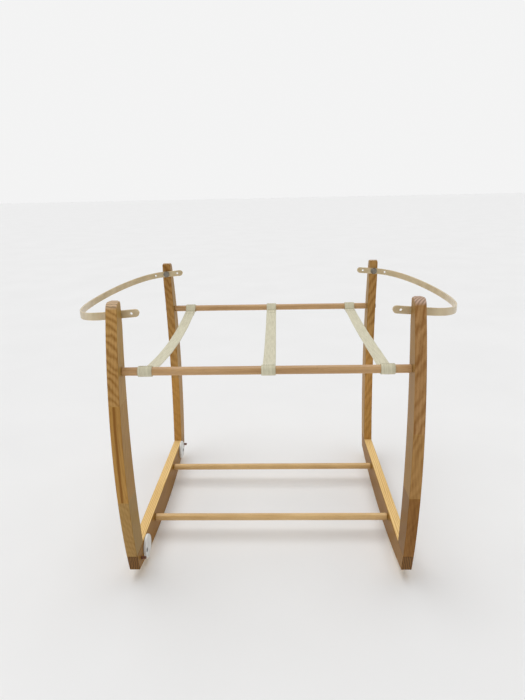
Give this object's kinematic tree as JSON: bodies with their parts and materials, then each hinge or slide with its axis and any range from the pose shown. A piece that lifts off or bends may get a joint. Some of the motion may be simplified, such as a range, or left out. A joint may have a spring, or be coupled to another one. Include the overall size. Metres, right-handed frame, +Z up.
{
  "type": "rocking basket stand",
  "caption": "Rocking wooden stand for a sleeping basket: bowed leg frames on rocker rails, cross dowels, sagging webbing straps, swinging end hoops, turning floor stoppers.",
  "frame": {"origin": "on the floor, midway between the four legs and between the two rocker rails", "axes": "+X along the basket, from the left end frame to the right one; +Y across the basket, the way the stand rocks, away from the front legs; +Z up"},
  "size_m": [0.7574, 0.603, 0.545],
  "materials": {
    "leg_pine": "clear satin lacquer over pine, warm, with slanting grain",
    "rail_pine": "clear satin lacquer over pine, honey",
    "dowel_warm": "satin turned dowel, orange-tan",
    "dowel_pale": "satin turned dowel, pale",
    "webbing": "flat woven cream webbing, matt",
    "hoop_plastic": "cream flexible strip, satin",
    "stopper_plastic": "white moulded plastic",
    "steel": "zinc-plated",
    "insert_brass": "plain",
    "peg_wood": "dark brown stained peg"
  },
  "bodies": {
    "stand": {"leg_front_left": "leg_pine", "leg_screw_front_left": "steel", "leg_pin_front_left": "dowel_pale", "hoop_bolt_front_left": "steel", "hoop_insert_front_left": "insert_brass", "upper_bolt_front_left": "steel", "lower_bolt_front_left": "steel", "leg_back_left": "leg_pine", "leg_screw_back_left": "steel", "leg_pin_back_left": "dowel_pale", "hoop_bolt_back_left": "steel", "hoop_insert_back_left": "insert_brass", "upper_bolt_back_left": "steel", "lower_bolt_back_left": "steel", "leg_front_right": "leg_pine", "leg_screw_front_right": "steel", "leg_pin_front_right": "dowel_pale", "hoop_bolt_front_right": "steel", "hoop_insert_front_right": "insert_brass", "upper_bolt_front_right": "steel", "lower_bolt_front_right": "steel", "leg_back_right": "leg_pine", "leg_screw_back_right": "steel", "leg_pin_back_right": "dowel_pale", "hoop_bolt_back_right": "steel", "hoop_insert_back_right": "insert_brass", "upper_bolt_back_right": "steel", "lower_bolt_back_right": "steel", "rocker_rail_left": "rail_pine", "strap_left": "webbing", "rocker_rail_right": "rail_pine", "strap_right": "webbing", "strap_middle": "webbing", "upper_dowel_front": "dowel_warm", "lower_dowel_front": "dowel_pale", "stopper_screw_front": "steel", "stop_peg_front": "peg_wood", "upper_dowel_back": "dowel_warm", "lower_dowel_back": "dowel_pale", "stopper_screw_back": "steel", "stop_peg_back": "peg_wood"},
    "left_hoop": {"hoop_left": "hoop_plastic"},
    "right_hoop": {"hoop_right": "hoop_plastic"},
    "front_stopper": {"stopper_front": "stopper_plastic"},
    "back_stopper": {"stopper_back": "stopper_plastic"}
  },
  "joints": [
    {"name": "left_hoop_swing", "type": "hinge", "parent": "stand", "child": "left_hoop", "pos_m": [-0.26, 0, 0.519], "axis": [0, 1, 0], "range_deg": [-60, 95]},
    {"name": "right_hoop_swing", "type": "hinge", "parent": "stand", "child": "right_hoop", "pos_m": [0.26, 0, 0.519], "axis": [0, -1, 0], "range_deg": [-60, 95]},
    {"name": "front_stopper_turn", "type": "hinge", "parent": "stand", "child": "front_stopper", "pos_m": [-0.247, -0.222, 0.0355], "axis": [1, 0, 0], "range_deg": [-95, 100]},
    {"name": "back_stopper_turn", "type": "hinge", "parent": "stand", "child": "back_stopper", "pos_m": [-0.247, 0.222, 0.0355], "axis": [-1, 0, 0], "range_deg": [-120, 75]}
  ]
}
